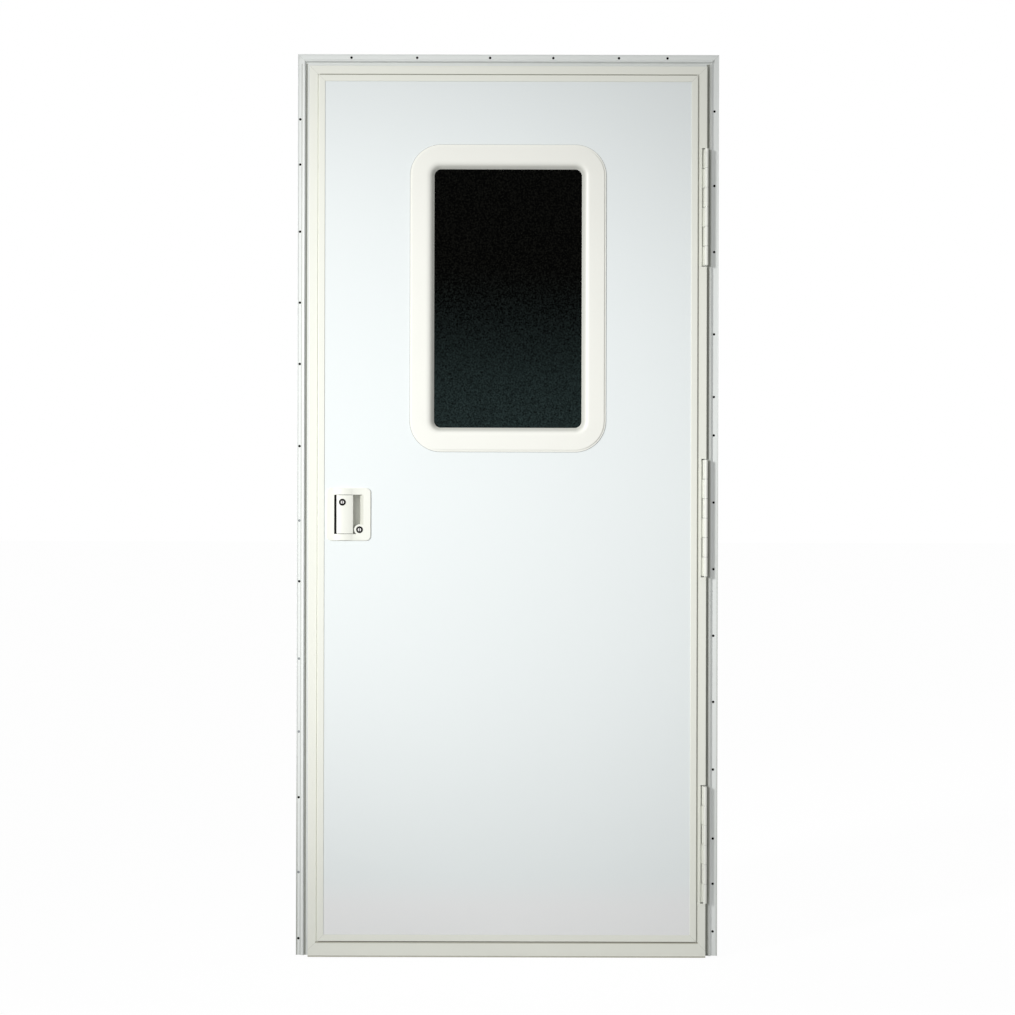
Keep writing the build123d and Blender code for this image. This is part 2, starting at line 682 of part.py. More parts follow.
with BuildPart() as pivot_pin:
    upright_rod(PIVOT_PIN_RADIUS, pocket_bottom - PIVOT_PIN_BITE, pocket_height + 2 * PIVOT_PIN_BITE)
save(pivot_pin, "paddle_pivot_pin")

for name, x, face, z, length in (
    ("paddle_key_plug", paddle_plug_x, hump_front, paddle_plug_z, PADDLE_PLUG_LENGTH),
    ("deadbolt_key_plug", deadbolt_x, bezel_front, deadbolt_z, DEADBOLT_PLUG_LENGTH),
):
    with BuildPart() as plug:
        facing_rod(PLUG_RADIUS, face + length, face - PLUG_PROUD, x, z)
        with BuildSketch(front_plane(face - PLUG_PROUD, x, z)):
            Rectangle(KEYWAY_WIDTH, KEYWAY_LENGTH)
        extrude(amount=-KEYWAY_DEPTH, mode=Mode.SUBTRACT)
    save(plug, name)

for name, (height, width, tall) in BOLTS.items():
    with BuildPart() as bolt:
        block(
            -leaf_edge,
            case_left - CASE_CLEAR,
            bolt_y - width / 2,
            bolt_y + width / 2,
            height - tall / 2,
            height + tall / 2,
        )
    save(bolt, name)

# Inside fittings of the lock
plate_face = inner_face + INNER_PLATE_THICK
with BuildPart() as inner_plate:
    with BuildSketch(front_plane(plate_face, lock_x, LOCK_HEIGHT)):
        RectangleRounded(INNER_PLATE_WIDTH, INNER_PLATE_HEIGHT, INNER_PLATE_CORNER)
    extrude(amount=INNER_PLATE_THICK)
save(inner_plate, "lock_inner_plate")

with BuildPart() as lever:
    with BuildSketch(front_plane(plate_face + LEVER_THICK, lock_x, latch_z)):
        Circle(LEVER_HUB_RADIUS)
        with Locations((LEVER_LENGTH / 2 - LEVER_HUB_RADIUS, 0)):
            SlotOverall(LEVER_LENGTH, LEVER_WIDTH)
    extrude(amount=LEVER_THICK)
save(lever, "inner_release_lever")

with BuildPart() as thumb_turn:
    with BuildSketch(front_plane(plate_face + TURN_THICK, lock_x, deadbolt_z)):
        Circle(TURN_RADIUS)
    extrude(amount=TURN_THICK)
    with BuildSketch(front_plane(plate_face + TURN_GRIP_HEIGHT, lock_x, deadbolt_z)):
        SlotOverall(TURN_GRIP_LENGTH, TURN_GRIP_WIDTH)
    extrude(amount=TURN_GRIP_HEIGHT)
save(thumb_turn, "inner_thumb_turn")

# Hinges: each plate lies on its own edge, and its fingers turn out to the barrel through a notch in the leaf's lip
knuckle = HINGE_LENGTH / KNUCKLES
hinge_x = web_inner + HINGE_AXIS_OUT
hinge_y = lip_front - HINGE_AXIS_PROUD
finger_front = lip_back + FINGER_SET
finger_back = finger_front + FINGER_THICK
plate_rear = finger_front + HINGE_PLATE_DEPTH
leaf_plate = (leaf_edge, leaf_edge + HINGE_PLATE_THICK, finger_front)
frame_plate = (web_inner - HINGE_PLATE_THICK, web_inner, finger_back + FINGER_CLEAR)


def hinge_half(height, plate, finger_start, first):
    """One half of a hinge: a plate with every second knuckle, starting at the given one."""
    bottom = height - HINGE_LENGTH / 2
    x0, x1, front = plate
    with BuildPart() as half:
        block(x0, x1, front, plate_rear, bottom, bottom + HINGE_LENGTH)
        for i in range(first, KNUCKLES, 2):
            with BuildSketch(Plane.XY.offset(bottom + i * knuckle + KNUCKLE_GAP / 2)):
                bar(finger_start, hinge_x + FINGER_HALF_WIDTH, finger_front, finger_back)
                bar(x0, x1, finger_front, plate_rear)
                bar(hinge_x - FINGER_HALF_WIDTH, hinge_x + FINGER_HALF_WIDTH, hinge_y, finger_back)
                with Locations((hinge_x, hinge_y)):
                    Circle(BARREL_RADIUS)
                    Circle(PIN_RADIUS + PIN_FIT, mode=Mode.SUBTRACT)
            extrude(amount=knuckle - KNUCKLE_GAP)
    return half


for name, height in hinge_heights.items():
    save(hinge_half(height, leaf_plate, leaf_edge, 0), f"hinge_{name}_leaf_half")
    save(hinge_half(height, frame_plate, frame_plate[0] - FINGER_REACH, 1), f"hinge_{name}_frame_half")
    with BuildPart() as pin:
        with BuildSketch(Plane.XY.offset(height - HINGE_LENGTH / 2)):
            with Locations((hinge_x, hinge_y)):
                Circle(PIN_RADIUS)
        extrude(amount=HINGE_LENGTH)
    save(pin, f"hinge_{name}_pin")
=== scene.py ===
"""Looks of the caravan entry door: finishes, small fasteners, studio and camera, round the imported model.

Metres. Seen from outside, +X is to the right, +Y goes into the caravan and +Z is up.
"""

import json
import math

import bmesh
import bpy
from mathutils import Euler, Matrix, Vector


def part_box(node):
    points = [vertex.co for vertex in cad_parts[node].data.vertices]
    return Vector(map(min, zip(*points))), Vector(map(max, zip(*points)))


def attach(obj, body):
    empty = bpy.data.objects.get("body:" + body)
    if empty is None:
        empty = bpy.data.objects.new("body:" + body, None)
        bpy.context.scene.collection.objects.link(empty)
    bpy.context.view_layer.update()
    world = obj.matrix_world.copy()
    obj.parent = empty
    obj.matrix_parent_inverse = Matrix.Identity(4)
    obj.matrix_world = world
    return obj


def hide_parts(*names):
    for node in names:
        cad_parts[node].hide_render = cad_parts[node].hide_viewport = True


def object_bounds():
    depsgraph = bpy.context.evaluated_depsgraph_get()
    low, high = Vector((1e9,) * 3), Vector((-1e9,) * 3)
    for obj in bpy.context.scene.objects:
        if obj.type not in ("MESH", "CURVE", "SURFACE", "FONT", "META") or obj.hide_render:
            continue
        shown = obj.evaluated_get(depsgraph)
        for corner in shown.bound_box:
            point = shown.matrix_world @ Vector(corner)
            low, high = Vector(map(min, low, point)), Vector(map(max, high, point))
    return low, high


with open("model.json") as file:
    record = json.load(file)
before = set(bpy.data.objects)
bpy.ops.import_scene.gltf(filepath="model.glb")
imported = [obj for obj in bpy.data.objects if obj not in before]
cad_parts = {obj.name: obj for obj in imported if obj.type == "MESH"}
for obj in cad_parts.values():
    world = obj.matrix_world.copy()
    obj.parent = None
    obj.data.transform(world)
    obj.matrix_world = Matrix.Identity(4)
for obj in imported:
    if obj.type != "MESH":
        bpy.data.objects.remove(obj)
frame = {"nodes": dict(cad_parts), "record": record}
cad_low, cad_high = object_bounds()
nodes = frame["nodes"]
record = frame["record"]
slot_of = {piece["node"]: piece["material_slot"] for piece in record["subparts"]}
body_of = {node: body for body, members in record["behaviour"]["bodies"].items() for node in members}
scene = bpy.context.scene
scene.view_settings.view_transform = "Standard"

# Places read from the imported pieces
frame_low, frame_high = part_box("jamb_head")
leaf_low, leaf_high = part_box("leaf_top_rail")
rail_low, rail_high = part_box("leaf_bottom_rail")
glass_low, glass_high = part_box("window_glass")

# Colours of the finishes, in linear light
FRAME_WHITE = (0.775, 0.80, 0.78)
LEAF_WHITE = (0.815, 0.825, 0.75)
SKIN_WHITE = (0.79, 0.832, 0.83)
RING_WHITE = (0.845, 0.847, 0.79)
LOCK_WHITE = (0.83, 0.84, 0.77)
HINGE_WHITE = (0.82, 0.83, 0.765)
FOAM_CREAM = (0.76, 0.70, 0.54)
RUBBER_BLACK = (0.012, 0.012, 0.013)
HOLE_DARK = (0.0012, 0.0012, 0.0012)
HOLE_PALE = (0.3, 0.32, 0.33)
STEEL_GREY = (0.56, 0.56, 0.55)
KEY_GREY = (0.16, 0.155, 0.145)
KEY_METAL = (0.88, 0.86, 0.85)
GLASS_TOP = (0.0015, 0.0015, 0.0012)
GLASS_FOOT_REFLECTED = (0.0112, 0.0185, 0.0182)

# Paint and moulded plastic: how strongly the grain is raised, how much of it shows in the tone, and the
# roughness of a clear coat
GRAIN_STRENGTH = 0.35
GRAIN_IN_TONE = 0.5
COAT_ROUGHNESS = 0.15

# Drawn metal: the spread and the least value of its lines' tone, their spread of roughness, their stretch
# along the piece and their depth
LINE_TONE = (0.3, 0.85)
LINE_ROUGHNESS = 0.25
LINE_STRETCH = (1.0, 1.0, 0.03)
LINE_DEPTH = 0.00005
LINE_STRENGTH = 0.3

# Foam: cells in a metre, the spread and the least value of their tone, and their depth
FOAM_CELLS = 700.0
FOAM_TONE = (0.4, 0.8)
FOAM_DEPTH = 0.0006
FOAM_STRENGTH = 0.6
FOAM_ROUGHNESS = 0.9

# Glass: the share of its height over which the painted reflection that lightens its foot fades, its grain,
# the grain's contrast at the foot and how much it gains towards the top, the size of its wipe marks, and the
# spread and the least value of its roughness
GLASS_FADE = 0.64
GLASS_GRAIN = 0.0034
GLASS_CONTRAST = 3.2
GLASS_CONTRAST_GAIN = 8.0
GLASS_CONTRAST_POWER = 4.0
GLASS_WIPE = 0.12
GLASS_ROUGHNESS = (0.05, 0.03)
GLASS_SPECULAR = 0.015

# Corner lines, where the extrusions are sawn at 45 degrees and meet; each pair of corners has its half
# width, height and direction
MITRE_LINE = 0.0004
MITRE_TINT = (0.55, 0.54, 0.51)
BOTTOM_RAIL_MITRE = 0.011
FRAME_CORNERS = [(frame_high.x, frame_high.z, 1.0)]
LEAF_CORNERS = [(leaf_high.x, leaf_high.z, 1.0), (rail_high.x, BOTTOM_RAIL_MITRE, -1.0)]

# Painted shade in the joint between the leaf's lip and the band that holds the skin: its depth behind the
# foremost face, how far it keeps from the leaf's edges, and how much fainter it is at the hinge side; the
# lock side has none
JOINT_NEAR = 0.0045
JOINT_FAR = 0.0058
LIP_EDGE_CLEAR = 0.0115
JOINT_CLEAR = 0.021
HINGE_JOINT_LOSS = 0.6
JOINT_SHADE_TINT = (0.42, 0.41, 0.38)

# Painted shade along the lower edge of the leaf and in the wider joint above it: the joint's heights and
# half length
FOOT_EDGE = 0.003
FOOT_JOINT = (0.0255, 0.029)
FOOT_JOINT_REACH = 0.393
FOOT_SHADE_TINT = (0.62, 0.6, 0.56)

# Painted shade on the flange's face in the gap between the leaf's lip and each jamb's ridge, outwards from
# the lip
LOCK_SIDE_GAP_SHADE = (0.0044, 0.007)
HINGE_SIDE_GAP_SHADE = (-0.001, 0.0048)
GAP_SHADE_DEPTH = 0.0025
GAP_SHADE_TINT = (0.37, 0.37, 0.33)

# Shaded strips along the jambs' ridges, inwards from the flange's outer edge
LOCK_RIDGE_SHADE = (0.0074, 0.0096)
HINGE_RIDGE_SHADE = (0.0152, 0.0194)
RIDGE_TINT = (0.72, 0.72, 0.7)

# Painted shade along the outer edge of the flange: its width, how strongly it shows at the hinge side, and
# the heights where it starts to fade and is gone at each side
FLANGE_EDGE = 0.003
HINGE_EDGE_SHARE = 0.6
LOCK_EDGE_FADE = (0.0, 0.6)
HINGE_EDGE_FADE = (0.8, 1.3)
FLANGE_EDGE_SHADE_TINT = (0.65, 0.65, 0.62)

# Warmer white at the foot of the leaf's sheet, and the heights where it starts to fade and is gone
SKIN_FOOT_FADE = (0.09, 0.17)
SKIN_FOOT_TINT = (1.045, 1.0, 1.0)

# Opening of the window ring, where the grey of its glazing edge starts to fade and is gone, outwards from
# the opening, and the sealing line round the ring
SIGHT_INSET = 0.008
SIGHT_CORNER = 0.014
GLAZING_FADE = (0.0036, 0.0117)
GLAZING_TINT = (0.73, 0.735, 0.725)
SEALING_LINE = 0.0008
SEALING_TINT = (0.42, 0.42, 0.42)

# Lock: painted shade along the paddle's edge that turns in the slit, and painted shade at the dished edge of
# the finger recess
PADDLE_SHADED_EDGE = 0.0012
PADDLE_EDGE_SHADE_TINT = (0.03, 0.03, 0.03)
DISH_WIDTH = 0.0152
DISH_DEPTH = 0.02
DISH_CLEAR = 0.003
DISH_TINT = (0.87, 0.87, 0.85)

# Key plugs: how far the bright face reaches, how deep the keyway starts to be dark, the sheen of the plug,
# and the painted shade of the gap round its face and of its keyway
KEY_FACE_RADIUS = 0.0034
KEYWAY_SHADE = 0.0004
KEY_SPECULAR = 0.12
COLLAR_SHADE_TINT = (0.008, 0.008, 0.008)

# Mean of Blender's noise texture
NOISE_MIDDLE = 0.5


# Node tools
def add_node(tree, kind, inputs=None, **settings):
    """A node with its settings, and its inputs set to values or linked from other nodes' sockets."""
    node = tree.nodes.new(kind)
    for name, value in settings.items():
        setattr(node, name, value)
    for name, value in (inputs or {}).items():
        if isinstance(value, bpy.types.NodeSocket):
            tree.links.new(value, node.inputs[name])
        else:
            node.inputs[name].default_value = value
    return node


def maths(tree, operation, *values):
    """The result of one sum on numbers or sockets."""
    return add_node(tree, "ShaderNodeMath", dict(enumerate(values)), operation=operation).outputs[0]


def product(tree, first, *others):
    """The masks multiplied together."""
    for other in others:
        first = maths(tree, "MULTIPLY", first, other)
    return first


def between(tree, value, low, high):
    """1 where the value lies between low and high."""
    return product(tree, maths(tree, "GREATER_THAN", value, low), maths(tree, "LESS_THAN", value, high))


def ramp(tree, value, start, end):
    """0 before start and 1 after end, with a soft change between."""
    ends = {"Value": value, "From Min": start, "From Max": end}
    return add_node(tree, "ShaderNodeMapRange", ends, interpolation_type="SMOOTHSTEP").outputs[0]


def fade(tree, value, start, end):
    """1 before start and 0 after end, with a soft change between."""
    return maths(tree, "SUBTRACT", 1.0, ramp(tree, value, start, end))


def object_place(tree):
    """The place on the piece, in the object's own coordinates."""
    return add_node(tree, "ShaderNodeTexCoord").outputs["Object"]


def object_xyz(tree):
    """The X, Y and Z of the place on the piece."""
    return add_node(tree, "ShaderNodeSeparateXYZ", {0: object_place(tree)}).outputs


def noise(tree, size, detail=2.0, stretch=None):
    """Noise on the piece's own coordinates, with lumps of about the given size in metres."""
    place = object_place(tree)
    if stretch:
        place = add_node(tree, "ShaderNodeMapping", {"Vector": place, "Scale": stretch}).outputs[0]
    scale = maths(tree, "DIVIDE", 1.0, size)
    look = {"Vector": place, "Scale": scale, "Detail": detail}
    return add_node(tree, "ShaderNodeTexNoise", look).outputs[0]


def centred(tree, texture):
    """The texture about zero."""
    return maths(tree, "SUBTRACT", texture, NOISE_MIDDLE)


def scaled_tone(tree, colour, value):
    """The colour made lighter or darker by the value."""
    return add_node(tree, "ShaderNodeHueSaturation", {"Color": colour, "Value": value}).outputs[0]


def shader_group(name, inputs, outputs):
    """A new group with named sockets: its tree, what its input node gives and what its output node takes."""
    tree = bpy.data.node_groups.new(name, "ShaderNodeTree")
    for label, kind, value in inputs:
        tree.interface.new_socket(label, in_out="INPUT", socket_type=kind).default_value = value
    for label, kind in outputs:
        tree.interface.new_socket(label, in_out="OUTPUT", socket_type=kind)
    return tree, tree.nodes.new("NodeGroupInput").outputs, tree.nodes.new("NodeGroupOutput").inputs


def use_group(tree, group, inputs):
    """Places a group with its own values and returns its outputs."""
    node = tree.nodes.new("ShaderNodeGroup")
    node.node_tree = group
    for name, value in inputs.items():
        node.inputs[name].default_value = value
    return node.outputs


# Shared effects
def make_mottle():
    """Slight clouds of tone and gloss, and a fine grain to raise, as on any painted or moulded surface."""
    tree, given, result = shader_group(
        "mottled_finish",
        [
            ("Colour", "NodeSocketColor", (0.8, 0.8, 0.8, 1.0)),
            ("Tone Spread", "NodeSocketFloat", 0.03),
            ("Cloud Size", "NodeSocketFloat", 0.2),
            ("Roughness", "NodeSocketFloat", 0.4),
            ("Roughness Spread", "NodeSocketFloat", 0.1),
            ("Grain Size", "NodeSocketFloat", 0.002),
        ],
        [("Colour", "NodeSocketColor"), ("Roughness", "NodeSocketFloat"), ("Grain", "NodeSocketFloat")],
    )
    cloud = centred(tree, noise(tree, given["Cloud Size"], detail=4.0))
    grain = noise(tree, given["Grain Size"], detail=3.0)
    fleck = maths(tree, "MULTIPLY_ADD", centred(tree, grain), GRAIN_IN_TONE, cloud)
    value = maths(tree, "MULTIPLY_ADD", fleck, given["Tone Spread"], 1.0)
    rough = maths(tree, "MULTIPLY_ADD", fleck, given["Roughness Spread"], given["Roughness"])
    tree.links.new(scaled_tone(tree, given["Colour"], value), result["Colour"])
    tree.links.new(rough, result["Roughness"])
    tree.links.new(grain, result["Grain"])
    return tree


def make_mitre():
    """The thin line where two extrusions meet at a corner, on both sides of the door."""
    tree, given, result = shader_group(
        "mitre_line",
        [
            ("Half Width", "NodeSocketFloat", 0.4),
            ("Height", "NodeSocketFloat", 1.8),
            ("Upward", "NodeSocketFloat", 1.0),
            ("Line", "NodeSocketFloat", MITRE_LINE),
        ],
        [("Line Mask", "NodeSocketFloat")],
    )
    xyz = object_xyz(tree)
    from_side = maths(tree, "SUBTRACT", given["Half Width"], maths(tree, "ABSOLUTE", xyz["X"]))
    from_end = maths(tree, "MULTIPLY", maths(tree, "SUBTRACT", given["Height"], xyz["Z"]), given["Upward"])
    off_line = maths(tree, "ABSOLUTE", maths(tree, "SUBTRACT", from_side, from_end))
    tree.links.new(fade(tree, off_line, 0.0, given["Line"]), result["Line Mask"])
    return tree


def make_sight_distance():
    """Distance outwards from the edge of the window ring's round-cornered opening."""
    tree, given, result = shader_group(
        "sight_distance",
        [
            ("Half Width", "NodeSocketFloat", 0.15),
            ("Half Height", "NodeSocketFloat", 0.26),
            ("Middle Height", "NodeSocketFloat", 1.35),
            ("Corner", "NodeSocketFloat", SIGHT_CORNER),
        ],
        [("Distance", "NodeSocketFloat")],
    )
    xyz = object_xyz(tree)
    up = maths(tree, "SUBTRACT", xyz["Z"], given["Middle Height"])
    beyond = []
    for offset, half in ((xyz["X"], given["Half Width"]), (up, given["Half Height"])):
        straight = maths(tree, "SUBTRACT", half, given["Corner"])
        beyond.append(maths(tree, "SUBTRACT", maths(tree, "ABSOLUTE", offset), straight))
    squares = [maths(tree, "POWER", maths(tree, "MAXIMUM", side, 0.0), 2.0) for side in beyond]
    outside = maths(tree, "SQRT", maths(tree, "ADD", *squares))
    inside = maths(tree, "MINIMUM", maths(tree, "MAXIMUM", *beyond), 0.0)
    distance = maths(tree, "SUBTRACT", maths(tree, "ADD", outside, inside), given["Corner"])
    tree.links.new(distance, result["Distance"])
    return tree


def make_streaks():
    """Fine drawn lines along the piece's upright axis, as on turned or drawn metal."""
    tree, given, result = shader_group(
        "drawn_lines",
        [("Line Size", "NodeSocketFloat", 0.0004), ("Roughness", "NodeSocketFloat", 0.3)],
        [("Roughness", "NodeSocketFloat"), ("Lines", "NodeSocketFloat")],
    )
    lines = noise(tree, given["Line Size"], stretch=LINE_STRETCH)
    rough = maths(tree, "MULTIPLY_ADD", centred(tree, lines), LINE_ROUGHNESS, given["Roughness"])
    tree.links.new(rough, result["Roughness"])
    tree.links.new(lines, result["Lines"])
    return tree


mottle = make_mottle()
mitre = make_mitre()
sight_distance = make_sight_distance()
streaks = make_streaks()


# Material tools
def new_material(name):
    """A material with nodes: the material, its tree and its shader."""
    material = bpy.data.materials.new(name)
    material.use_nodes = True
    tree = material.node_tree
    return material, tree, tree.nodes["Principled BSDF"]


def tint_where(tree, mask, colour):
    """Multiplies what the shader's base colour has so far by the colour, where the mask is 1."""
    base = tree.nodes["Principled BSDF"].inputs["Base Color"]
    mix = add_node(tree, "ShaderNodeMix", data_type="RGBA", blend_type="MULTIPLY")
    tree.links.new(mask, mix.inputs[0])
    tree.links.new(base.links[0].from_socket, mix.inputs[6])
    mix.inputs[7].default_value = (*colour, 1.0)
    tree.links.new(mix.outputs[2], base)


def raise_grain(tree, shader, height, depth, strength):
    """Gives the surface the relief of a texture."""
    bump = add_node(tree, "ShaderNodeBump", {"Height": height, "Distance": depth, "Strength": strength})
    tree.links.new(bump.outputs[0], shader.inputs["Normal"])


# Finishes
def mottled(
    name,
    colour,
    roughness,
    grain_size,
    grain_depth,
    tone=0.03,
    cloud=0.25,
    corners=(),
    coat=0.0,
    specular=0.5,
):
    """Paint or moulded plastic, with faint lines at the given (half width, height, upward) corners."""
    material, tree, shader = new_material(name)
    look = use_group(
        tree,
        mottle,
        {
            "Colour": (*colour, 1.0),
            "Tone Spread": tone,
            "Cloud Size": cloud,
            "Roughness": roughness,
            "Grain Size": grain_size,
        },
    )
    tree.links.new(look["Colour"], shader.inputs["Base Color"])
    for half_width, height, upward in corners:
        line = use_group(tree, mitre, {"Half Width": half_width, "Height": height, "Upward": upward})
        tint_where(tree, line["Line Mask"], MITRE_TINT)
    tree.links.new(look["Roughness"], shader.inputs["Roughness"])
    shader.inputs["Coat Weight"].default_value = coat
    shader.inputs["Coat Roughness"].default_value = COAT_ROUGHNESS
    shader.inputs["Specular IOR Level"].default_value = specular
    raise_grain(tree, shader, look["Grain"], grain_depth, GRAIN_STRENGTH)
    return material


def drawn_metal(name, colour, roughness, line_size):
    """Bare metal with fine lines along it."""
    material, tree, shader = new_material(name)
    look = use_group(tree, streaks, {"Line Size": line_size, "Roughness": roughness})
    value = maths(tree, "MULTIPLY_ADD", look["Lines"], *LINE_TONE)
    tree.links.new(scaled_tone(tree, (*colour, 1.0), value), shader.inputs["Base Color"])
    tree.links.new(look["Roughness"], shader.inputs["Roughness"])
    shader.inputs["Metallic"].default_value = 1.0
    raise_grain(tree, shader, look["Lines"], LINE_DEPTH, LINE_STRENGTH)
    return material


def dark_glass(name):
    """Deep tint with a painted reflection that lightens it towards the foot of the pane, and a fine grain in
    it.
    """
    material, tree, shader = new_material(name)
    fade_end = glass_low.z + GLASS_FADE * (glass_high.z - glass_low.z)
    # Painted reflection: the tint lightens towards the foot of the pane
    rise = ramp(tree, object_xyz(tree)["Z"], glass_low.z, fade_end)
    tint = add_node(tree, "ShaderNodeMix", data_type="RGBA")
    tree.links.new(rise, tint.inputs[0])
    tint.inputs[6].default_value = (*GLASS_FOOT_REFLECTED, 1.0)
    tint.inputs[7].default_value = (*GLASS_TOP, 1.0)
    late_rise = maths(tree, "POWER", rise, GLASS_CONTRAST_POWER)
    contrast = maths(tree, "MULTIPLY_ADD", late_rise, GLASS_CONTRAST_GAIN, GLASS_CONTRAST)
    grain = centred(tree, noise(tree, GLASS_GRAIN, detail=1.0))
    fleck = maths(tree, "MAXIMUM", maths(tree, "MULTIPLY_ADD", grain, contrast, 1.0), 0.0)
    tree.links.new(scaled_tone(tree, tint.outputs[2], fleck), shader.inputs["Base Color"])
    wipe = maths(tree, "MULTIPLY_ADD", noise(tree, GLASS_WIPE, detail=3.0), *GLASS_ROUGHNESS)
    tree.links.new(wipe, shader.inputs["Roughness"])
    shader.inputs["Specular IOR Level"].default_value = GLASS_SPECULAR
    return material


def cast_foam(name):
    """Cream foam with small closed cells."""
    material, tree, shader = new_material(name)
    look = {"Vector": object_place(tree), "Scale": FOAM_CELLS}
    cells = add_node(tree, "ShaderNodeTexVoronoi", look).outputs["Distance"]
    value = maths(tree, "MULTIPLY_ADD", cells, *FOAM_TONE)
    tree.links.new(scaled_tone(tree, (*FOAM_CREAM, 1.0), value), shader.inputs["Base Color"])
    shader.inputs["Roughness"].default_value = FOAM_ROUGHNESS
    raise_grain(tree, shader, cells, FOAM_DEPTH, FOAM_STRENGTH)
    return material


def shaded_leaf_paint(name):
    """The leaf's edge paint, with corner lines, and painted shade in the joint between lip and band and at
    the foot.
    """
    material = mottled(
        name, LEAF_WHITE, roughness=0.38, grain_size=0.0012, grain_depth=0.00006, corners=LEAF_CORNERS
    )
    tree = material.node_tree
    xyz = object_xyz(tree)
    # Painted shade in the joint between lip and band, fainter at the hinge side
    depth = between(tree, xyz["Y"], leaf_low.y + JOINT_NEAR, leaf_low.y + JOINT_FAR)
    across = between(tree, xyz["X"], leaf_low.x + JOINT_CLEAR, leaf_high.x - LIP_EDGE_CLEAR)
    up = between(tree, xyz["Z"], rail_low.z + LIP_EDGE_CLEAR, leaf_high.z - LIP_EDGE_CLEAR)
    hinge_side = maths(tree, "GREATER_THAN", xyz["X"], leaf_high.x - JOINT_CLEAR)
    strength = maths(tree, "MULTIPLY_ADD", hinge_side, -HINGE_JOINT_LOSS, 1.0)
    tint_where(tree, product(tree, depth, across, up, strength), JOINT_SHADE_TINT)
    # Painted shade in the wider joint at the foot and along the leaf's lower edge
    foot_reach = maths(tree, "LESS_THAN", maths(tree, "ABSOLUTE", xyz["X"]), FOOT_JOINT_REACH)
    foot_joint = product(tree, between(tree, xyz["Z"], *FOOT_JOINT), foot_reach)
    foot_edge = maths(tree, "LESS_THAN", xyz["Z"], rail_low.z + FOOT_EDGE)
    tint_where(tree, maths(tree, "MAXIMUM", foot_joint, foot_edge), FOOT_SHADE_TINT)
    return material


def shaded_frame_paint(name):
    """The frame's paint, with corner lines, and painted shade in the gap beside the leaf, on the ridges and
    on the edges.
    """
    material = mottled(
        name, FRAME_WHITE, roughness=0.42, grain_size=0.0012, grain_depth=0.00006, corners=FRAME_CORNERS
    )
    tree = material.node_tree
    xyz = object_xyz(tree)
    below_head = maths(tree, "LESS_THAN", xyz["Z"], leaf_high.z + HINGE_SIDE_GAP_SHADE[1])

    # Painted shade on the flange's face in the gaps beside the leaf's lip
    near, far = LOCK_SIDE_GAP_SHADE
    lock_gap = between(tree, xyz["X"], leaf_low.x - far, leaf_low.x - near)
    near, far = HINGE_SIDE_GAP_SHADE
    hinge_gap = between(tree, xyz["X"], leaf_high.x + near, leaf_high.x + far)
    facing = between(tree, xyz["Y"], -GAP_SHADE_DEPTH, 0.0)
    gaps = maths(tree, "MAXIMUM", lock_gap, hinge_gap)
    tint_where(tree, product(tree, gaps, facing, below_head), GAP_SHADE_TINT)

    near, far = LOCK_RIDGE_SHADE
    lock_ridge = between(tree, xyz["X"], frame_low.x + near, frame_low.x + far)
    near, far = HINGE_RIDGE_SHADE
    hinge_ridge = between(tree, xyz["X"], frame_high.x - far, frame_high.x - near)
    ridges = maths(tree, "MAXIMUM", lock_ridge, hinge_ridge)
    tint_where(tree, product(tree, ridges, below_head), RIDGE_TINT)

    # Painted shade along the flange's outer edges, fading upwards
    lock_edge = maths(tree, "LESS_THAN", xyz["X"], frame_low.x + FLANGE_EDGE)
    hinge_edge = maths(tree, "GREATER_THAN", xyz["X"], frame_high.x - FLANGE_EDGE)
    hinge_edge = product(tree, hinge_edge, fade(tree, xyz["Z"], *HINGE_EDGE_FADE), HINGE_EDGE_SHARE)
    edges = maths(tree, "MULTIPLY_ADD", lock_edge, fade(tree, xyz["Z"], *LOCK_EDGE_FADE), hinge_edge)
    tint_where(tree, edges, FLANGE_EDGE_SHADE_TINT)
    return material


def lock_plastic(name):
    """The lock's moulded white."""
    return mottled(name, LOCK_WHITE, roughness=0.34, grain_size=0.0007, grain_depth=0.00005, cloud=0.05)


def shade_edged_paddle(name):
    """The lock's white, with painted shade along the edge that turns in the slit."""
    material = lock_plastic(name)
    tree = material.node_tree
    paddle_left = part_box("lock_paddle")[0].x
    edge = maths(tree, "LESS_THAN", object_xyz(tree)["X"], paddle_left + PADDLE_SHADED_EDGE)
    tint_where(tree, edge, PADDLE_EDGE_SHADE_TINT)
    return material


def dished_bezel(name):
    """The lock's white, with the soft shade of the dished edge beside the finger recess."""
    material = lock_plastic(name)
    tree = material.node_tree
    xyz = object_xyz(tree)
    plug_low, plug_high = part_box("deadbolt_key_plug")
    bezel_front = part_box("lock_bezel")[0].y
    paddle_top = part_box("lock_paddle")[1].z
    across = between(tree, xyz["X"], (plug_low.x + plug_high.x) / 2, plug_low.x + DISH_WIDTH)
    depth = between(tree, xyz["Y"], bezel_front, bezel_front + DISH_DEPTH)
    up = between(tree, xyz["Z"], plug_high.z + DISH_CLEAR, paddle_top)
    tint_where(tree, product(tree, across, depth, up), DISH_TINT)
    return material


def from_sight(tree):
    """Distance outwards from the edge of this window's opening."""
    sizes = {
        "Half Width": glass_high.x - SIGHT_INSET,
        "Half Height": (glass_high.z - glass_low.z) / 2 - SIGHT_INSET,
        "Middle Height": (glass_high.z + glass_low.z) / 2,
    }
    return use_group(tree, sight_distance, sizes)["Distance"]


def glazed_ring(name):
    """The window ring's white, greyer on the soft edge that holds the glass."""
    material = mottled(name, RING_WHITE, roughness=0.4, grain_size=0.0009, grain_depth=0.00008, cloud=0.1)
    tree = material.node_tree
    tint_where(tree, fade(tree, from_sight(tree), *GLAZING_FADE), GLAZING_TINT)
    return material


